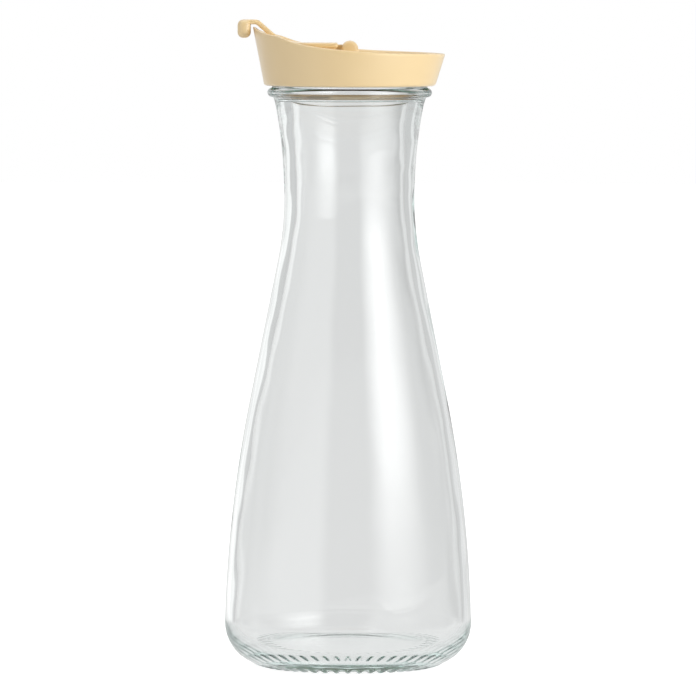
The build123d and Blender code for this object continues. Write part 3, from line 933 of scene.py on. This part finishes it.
class JUG_OT_flap(bpy.types.Operator):
    """Mould the flap: leaf, stem, finger hook, rib round the collar, web, barrel and trunnions"""

    bl_idname = "jug.flap"
    bl_label = "Flap"

    def execute(self, context):
        s, lid = context.scene.jug_flap, context.scene.jug_lid
        shape = FlapShape(s, lid)
        bm = bmesh.new()
        self.form_leaf(bm, shape)
        self.form_hook(bm, shape)
        self.form_rib(bm, shape, lid)
        self.form_hinge(bm, shape, lid)
        plastic = moulded_plastic(context.scene)
        finish_piece(bm, "flap_leaf", "flap", plastic, "pour_flap", SHARP)
        return {"FINISHED"}

    def form_leaf(self, bm, shape):
        """Lofts a rounded strip along the centreline. Its rear edge is rounded too."""
        s = shape.s
        points = shape.centreline()
        soft = s.edge_round
        loops = []

        def station(centre, up, inset):
            half = shape.half_width(centre.x) - inset
            # The corners tighten, but less than the outline draws in.
            outline = rounded_rectangle(half, s.thickness / 2 - inset, soft - inset * 0.6, 5)
            return add_loop(bm, outline, lambda p: (centre.x + up.x * p.y, p.x, centre.y + up.y * p.y))

        up = Vector((0, 1))
        for turn in (0, 30, 60):
            inset = soft * (1 - sin(radians(turn)))
            place = Vector((points[0].x - (soft - inset), points[0].y))
            loops.append(station(place, up, inset))
        for before, here, after in zip(points, points[1:], points[2:]):
            along = (after - before).normalized()
            loops.append(station(here, Vector((along.y, -along.x)), 0))
        loops.append(station(points[-1], up, 0))
        stack_loops(bm, loops)

    def form_hook(self, bm, shape):
        """A stout bar across the tip with rounded ends."""
        s = shape.s
        half = s.hook_width / 2
        level = shape.crown_z - s.hook_drop / 2
        turns = (radians(15 * k) for k in range(6, -1, -1))
        ends = [(s.hook_round * (1 - cos(a)), half - s.hook_round * (1 - sin(a))) for a in turns]
        loops = []
        for inset, y in [(i, -y) for i, y in ends] + [(i, y) for i, y in reversed(ends)]:
            corner = max(s.hook_round - inset, s.hook_corner)
            outline = rounded_rectangle(s.hook_thickness / 2 - inset, s.hook_drop / 2 - inset, corner, 8)
            loops.append(add_loop(bm, outline, lambda p: (shape.hook_x + p.x, y, level + p.y)))
        stack_loops(bm, loops)

    def form_rib(self, bm, shape, lid):
        """The rib that drops round the collar."""
        s = shape.s
        inner = lid.collar_wall + s.rib_gap
        outer, soft = inner + s.rib, s.rib / 4
        foot, top = lid.deck_height + s.rib_seat_gap, shape.middle
        stations = (
            (inner, top),
            (inner, foot + soft),
            (inner + soft, foot),
            (outer - soft, foot),
            (outer, foot + soft),
            (outer, top),
        )
        loops = opening_loops(bm, lid, shape.opening_x, 12, stations)
        stack_loops(bm, loops, closed=False)
        bridge(bm, loops[-1], loops[0])

    def form_hinge(self, bm, shape, lid):
        """The barrel with its trunnions, and the web that joins it to the leaf."""
        s = shape.s
        half, soft = lid.ear_spacing / 2 - s.side_gap, s.barrel_radius / 10
        reach = lid.ear_spacing / 2 + lid.bore_depth - s.side_gap
        side = [
            (s.trunnion_radius - soft, reach),
            (s.trunnion_radius, reach - soft),
            (s.trunnion_radius, half),
            (s.barrel_radius - soft, half),
            (s.barrel_radius, half - soft),
        ]
        loops = []
        for radius, y in side + [(r, -y) for r, y in reversed(side)]:
            loops.append(add_loop(bm, circle(radius, 48), lambda p: (HINGE.x + p.x, y, HINGE.z + p.y)))
        stack_loops(bm, loops)
        start, end = HINGE.x, shape.rear_x - s.thickness / 2
        x, z = (start + end) / 2, shape.middle - s.web_drop
        web = rounded_rectangle((start - end) / 2, s.thickness / 2, s.thickness / 5, 3)
        loops = [add_loop(bm, web, lambda p: (x + p.x, y, z + p.y)) for y in (-half, half)]
        stack_loops(bm, loops)


class JUG_OT_stage(bpy.types.Operator):
    """Set the table, the lights and the camera"""

    bl_idname = "jug.stage"
    bl_label = "Stage"

    def execute(self, context):
        scene = context.scene
        scene.view_settings.view_transform = "Standard"
        scene.cycles.max_bounces = 32
        scene.cycles.glossy_bounces = 32
        scene.cycles.transmission_bounces = 32
        self.lay_floor(scene)
        self.light_world(scene)
        self.hang_lights(scene)
        self.place_camera(scene)
        return {"FINISHED"}

    def lay_floor(self, scene):
        """A wide pale table, white to the camera but for the jug's shadow. Glass sees the studio in it."""
        s = scene.jug_stage
        bm = bmesh.new()
        bmesh.ops.create_circle(bm, cap_ends=True, segments=96, radius=s.floor_radius)
        material, tree, shader = new_material("floor")
        path = add_node(tree, "LightPath")
        surface = {
            "Base Color": (*scene.jug_finishes.floor, 1),
            "Roughness": 0.9,
            "Specular IOR Level": 0.0,
            "Emission Color": (1, 1, 1, 1),
            "Emission Strength": add_math(tree, "MULTIPLY", path.outputs["Is Camera Ray"], s.floor_lift),
        }
        wire(tree, shader, surface)
        around = add_group(tree, studio_group(scene)).outputs["Level"]
        place = add_node(tree, "NewGeometry").outputs["Position"]
        reach = add_node(tree, "VectorMath", {0: place}, operation="LENGTH").outputs["Value"]
        near = add_fade(tree, reach, 2 * s.near_table, s.near_table)
        blend = add_node(tree, "Mix", {"Factor": near, "A": around, "B": s.near_level}).outputs["Result"]
        level = add_math(tree, "MAXIMUM", blend, s.far_level)
        through = add_node(tree, "Emission", {"Strength": level}).outputs["Emission"]
        seen = add_math(tree, "MAXIMUM", path.outputs["Is Transmission Ray"], path.outputs["Is Glossy Ray"])
        mix = add_node(tree, "MixShader", {"Fac": seen, 1: shader.outputs["BSDF"], 2: through})
        wire(tree, tree.nodes["Material Output"], {"Surface": mix.outputs["Shader"]})
        add_object(bm, "floor", material)

    def light_world(self, scene):
        """A white backdrop for the camera, and a studio that is lit unevenly all round for the rest."""
        world = bpy.data.worlds.new("studio")
        scene.world = world
        world.use_nodes = True
        tree = world.node_tree
        path = add_node(tree, "LightPath")
        around = add_group(tree, studio_group(scene)).outputs["Level"]
        level = add_math(tree, "MAXIMUM", around, path.outputs["Is Camera Ray"])
        wire(tree, tree.nodes["Background"], {"Color": (1, 1, 1, 1), "Strength": level})

    def hang_lights(self, scene):
        """A large soft window on the camera's right, a lamp above, and a fill that glass doesn't show."""
        s = scene.jug_stage
        window = softbox(
            scene, "window", s.window_bearing, s.window_distance, s.window_height, s.window_size
        )
        self.shade_window(scene, window)
        softbox(scene, "overhead", 0.0, 0.0, s.overhead_height, s.overhead_size, s.overhead_power)
        fill = softbox(
            scene, "fill", s.fill_bearing, s.fill_distance, s.fill_height, s.fill_size, s.fill_power
        )
        fill.visible_glossy = fill.visible_transmission = False

    def shade_window(self, scene, lamp):
        """Fades the lamp to its two sides and to its foot."""
        s = scene.jug_stage
        lamp.data.use_nodes = True
        tree = lamp.data.node_tree
        place = add_node(tree, "NewGeometry").outputs["Position"]
        parts = add_node(tree, "SeparateXYZ", {"Vector": place}).outputs
        bearing = add_math(tree, "ARCTAN2", parts["X"], add_math(tree, "MULTIPLY", parts["Y"], -1.0))
        fade = add_fade(tree, bearing, s.window_start, s.window_bearing - s.window_near)
        far = add_fade(tree, bearing, s.window_end, s.window_bearing - s.window_far)
        low = add_fade(tree, parts["Z"], 0.0, s.window_height, s.window_foot)
        top = add_fade(tree, parts["Z"], s.window_height + s.window_size[1] / 2, s.window_height)
        for part in (far, low, top):
            fade = add_math(tree, "MULTIPLY", fade, part)
        wire(tree, tree.nodes["Emission"], {"Strength": fade})
        # A lamp's radiance is its power over pi times its area.
        lamp.data.energy = s.window_radiance * pi * lamp.data.size * lamp.data.size_y

    def place_camera(self, scene):
        """The photograph's camera: long, almost level and straight in front."""
        s = scene.jug_stage
        data = bpy.data.cameras.new("camera")
        data.sensor_width = 36
        data.lens = s.focal_pixels / s.picture_side * data.sensor_width
        data.shift_x = -s.axis_shift / s.picture_side
        data.clip_end = 100
        camera = bpy.data.objects.new("camera", data)
        scene.collection.objects.link(camera)
        down = s.camera_elevation
        reach = s.camera_distance
        camera.location = (0, -reach * cos(down), s.aim_height + reach * sin(down))
        look = Matrix.Rotation(pi / 2 - down, 4, "X") @ Matrix.Rotation(s.camera_roll, 4, "Z")
        camera.rotation_euler = look.to_euler()
        scene.camera = camera


def wire(tree, node, inputs):
    """Feeds inputs of a node, each from a socket or with a value."""
    for key, value in inputs.items():
        if isinstance(value, bpy.types.NodeSocket):
            tree.links.new(value, node.inputs[key])
        else:
            node.inputs[key].default_value = value


def add_node(tree, kind, inputs=None, **settings):
    """A node with its settings and inputs."""
    node = tree.nodes.new("ShaderNode" + kind)
    for name, value in settings.items():
        setattr(node, name, value)
    wire(tree, node, inputs or {})
    return node


def add_group(tree, group, inputs=None):
    """A node that stands for a node group."""
    node = add_node(tree, "Group", node_tree=group)
    wire(tree, node, inputs or {})
    return node


def add_math(tree, operation, *values):
    """A Math node's result."""
    return add_node(tree, "Math", dict(enumerate(values)), operation=operation).outputs["Value"]


def add_fade(tree, value, start, end, foot=0.0):
    """A smooth rise over a value's range from start to end, out of foot and into 1."""
    levels = {"Value": value, "From Min": start, "From Max": end, "To Min": foot, "To Max": 1.0}
    return add_node(tree, "MapRange", levels, interpolation_type="SMOOTHSTEP").outputs["Result"]


def add_bump(tree, height, distance):
    """The normal of a surface that a height value tilts."""
    return add_node(tree, "Bump", {"Height": height, "Distance": distance}).outputs["Normal"]


def studio_group(scene):
    """How bright the studio is in each direction, as one value, for the backdrop and for the table."""
    name = "studio_level"
    if name in bpy.data.node_groups:
        return bpy.data.node_groups[name]
    s = scene.jug_stage
    tree = bpy.data.node_groups.new(name, "ShaderNodeTree")
    tree.interface.new_socket("Level", in_out="OUTPUT", socket_type="NodeSocketFloat")
    ray = add_node(tree, "NewGeometry").outputs["Incoming"]
    parts = add_node(tree, "SeparateXYZ", {"Vector": ray}).outputs
    # Incoming points back along the ray, so (-x, y) is the way to the right and to the front.
    turn = add_math(tree, "ARCTAN2", add_math(tree, "MULTIPLY", parts["X"], -1.0), parts["Y"])
    share = add_math(tree, "ADD", add_math(tree, "DIVIDE", turn, tau), 0.5)
    curve = add_node(tree, "ValToRGB", {"Fac": share})
    curve.color_ramp.interpolation = "EASE"
    stops = curve.color_ramp.elements
    stops.remove(stops[-1])
    # Bearings in degrees, from the front to the right, and the brightness there
    levels = (
        (-180, s.backdrop),
        (-165, s.backdrop),
        (-161, s.back_strip),
        (-149, s.back_strip),
        (-145, s.back_gap),
        (-128, s.back_gap),
        (-95, s.left_back),
        (-72, s.left_wall),
        (-32, s.left_wall),
        (-17, s.front_gap),
        (95, s.front_gap),
        (125, s.back_gap),
        (147, s.back_gap),
        (151, s.right_strip),
        (159, s.right_strip),
        (163, s.back_gap),
        (172, s.backdrop),
    )
    for index, (bearing, level) in enumerate(levels):
        stop = stops.new(bearing / 360 + 0.5) if index else stops[0]
        stop.color = (level, level, level, 1)
    wire(tree, tree.nodes.new("NodeGroupOutput"), {"Level": curve.outputs["Color"]})
    return tree


def softbox(scene, name, bearing, distance, height, size, power=1.0):
    """A rectangular lamp that points at the jug. Its bearing is turned right from the camera's side."""
    data = bpy.data.lights.new(name, "AREA")
    data.shape = "RECTANGLE"
    data.size, data.size_y = size
    data.energy = power
    lamp = bpy.data.objects.new(name, data)
    scene.collection.objects.link(lamp)
    lamp.location = (distance * sin(bearing), -distance * cos(bearing), height)
    aim = Vector((0, 0, height if distance else 0)) - lamp.location
    lamp.rotation_euler = aim.to_track_quat("-Z", "Y").to_euler()
    lamp.visible_camera = False
    return lamp


class VIEW3D_PT_jug(bpy.types.Panel):
    """Buttons and sizes of the jug"""

    bl_label = "Glass Jug"
    bl_space_type = "VIEW_3D"
    bl_region_type = "UI"
    bl_category = "Jug"

    def draw(self, context):
        layout = self.layout
        for step in STEPS:
            layout.operator(step.bl_idname)
        for name in GROUPS:
            group = getattr(context.scene, name)
            box = layout.box()
            for prop in group.bl_rna.properties:
                if not prop.is_readonly:
                    box.prop(group, prop.identifier)


GROUPS = {
    "jug_sizes": JugSizes,
    "jug_lid": LidSizes,
    "jug_flap": FlapSizes,
    "jug_seal": SealSizes,
    "jug_finishes": Finishes,
    "jug_stage": StageSettings,
}
STEPS = (JUG_OT_glass, JUG_OT_lid, JUG_OT_seal, JUG_OT_flap, JUG_OT_stage)


def register():
    for cls in (*GROUPS.values(), *STEPS, VIEW3D_PT_jug):
        bpy.utils.register_class(cls)
    for name, group in GROUPS.items():
        setattr(bpy.types.Scene, name, PointerProperty(type=group))


def unregister():
    for name in GROUPS:
        delattr(bpy.types.Scene, name)
    for cls in (VIEW3D_PT_jug, *reversed(STEPS), *reversed(list(GROUPS.values()))):
        bpy.utils.unregister_class(cls)


def main():
    """Builds every piece in order."""
    register()
    bpy.ops.jug.glass()
    bpy.ops.jug.lid()
    bpy.ops.jug.seal()
    bpy.ops.jug.flap()
    bpy.ops.jug.stage()


if __name__ == "__main__":
    main()
